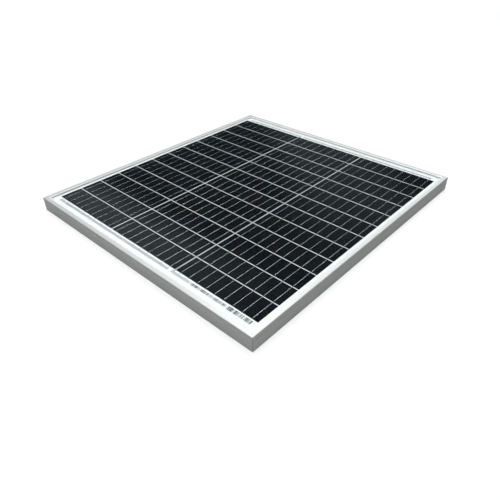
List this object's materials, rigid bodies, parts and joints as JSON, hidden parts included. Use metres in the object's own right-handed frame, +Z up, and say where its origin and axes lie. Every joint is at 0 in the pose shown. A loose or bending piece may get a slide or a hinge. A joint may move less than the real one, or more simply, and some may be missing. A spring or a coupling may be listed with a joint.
{
  "type": "solar panel",
  "caption": "Framed flat solar panel that turns light into power: strings of dark cut cells under glass in a mitred aluminium frame, with a junction box on its back.",
  "frame": {"origin": "on the ground, under the middle of the panel lying face up", "axes": "+Z up out of the glass, +Y along the cell strings towards the junction box's end, +X across the strings"},
  "size_m": [0.535, 0.58, 0.027],
  "materials": {
    "frame_anodised": "silver anodised, satin, fine lengthwise extrusion lines",
    "corner_key": "mill finish",
    "sealant": "pale silicone",
    "front_glass": "low-iron tempered glass, lightly textured",
    "encapsulant": "clear film",
    "backsheet": "white film, slight emboss",
    "tinned_ribbon": "tin-coated copper, dull bright",
    "solar_cell": "blue-black textured silicon with fine grid fingers",
    "junction_box": "black, fine spark texture",
    "gland": "black",
    "terminal": "tinned copper strip",
    "diode": "black moulded body"
  },
  "bodies": {
    "panel": {"rail_front": "frame_anodised", "rail_right": "frame_anodised", "rail_back": "frame_anodised", "rail_left": "frame_anodised", "corner_key_front_left": "corner_key", "corner_key_front_right": "corner_key", "corner_key_back_left": "corner_key", "corner_key_back_right": "corner_key", "edge_seal": "sealant", "glass": "front_glass", "front_encapsulant": "encapsulant", "rear_encapsulant": "encapsulant", "backsheet": "backsheet", "bus_ribbon_front_link": "tinned_ribbon", "bus_ribbon_back_link": "tinned_ribbon", "bus_ribbon_front_terminal": "tinned_ribbon", "bus_ribbon_back_terminal": "tinned_ribbon", "cell_string1_row01": "solar_cell", "cell_string1_row02": "solar_cell", "cell_string1_row03": "solar_cell", "cell_string1_row04": "solar_cell", "cell_string1_row05": "solar_cell", "cell_string1_row06": "solar_cell", "cell_string1_row07": "solar_cell", "cell_string1_row08": "solar_cell", "cell_string1_row09": "solar_cell", "cell_string1_row10": "solar_cell", "cell_string1_row11": "solar_cell", "cell_string1_row12": "solar_cell", "cell_string2_row01": "solar_cell", "cell_string2_row02": "solar_cell", "cell_string2_row03": "solar_cell", "cell_string2_row04": "solar_cell", "cell_string2_row05": "solar_cell", "cell_string2_row06": "solar_cell", "cell_string2_row07": "solar_cell", "cell_string2_row08": "solar_cell", "cell_string2_row09": "solar_cell", "cell_string2_row10": "solar_cell", "cell_string2_row11": "solar_cell", "cell_string2_row12": "solar_cell", "cell_string3_row01": "solar_cell", "cell_string3_row02": "solar_cell", "cell_string3_row03": "solar_cell", "cell_string3_row04": "solar_cell", "cell_string3_row05": "solar_cell", "cell_string3_row06": "solar_cell", "cell_string3_row07": "solar_cell", "cell_string3_row08": "solar_cell", "cell_string3_row09": "solar_cell", "cell_string3_row10": "solar_cell", "cell_string3_row11": "solar_cell", "cell_string3_row12": "solar_cell", "junction_box_base": "junction_box", "cable_gland_negative": "gland", "cable_gland_positive": "gland", "terminal_negative": "terminal", "terminal_positive": "terminal", "bypass_diode": "diode"},
    "lid": {"junction_box_lid": "junction_box"}
  },
  "joints": [
    {"name": "junction_box_lid_hinge", "type": "hinge", "parent": "panel", "child": "lid", "pos_m": [0, 0.24, 0.0055], "axis": [1, 0, 0], "range_deg": [0, 110]}
  ]
}
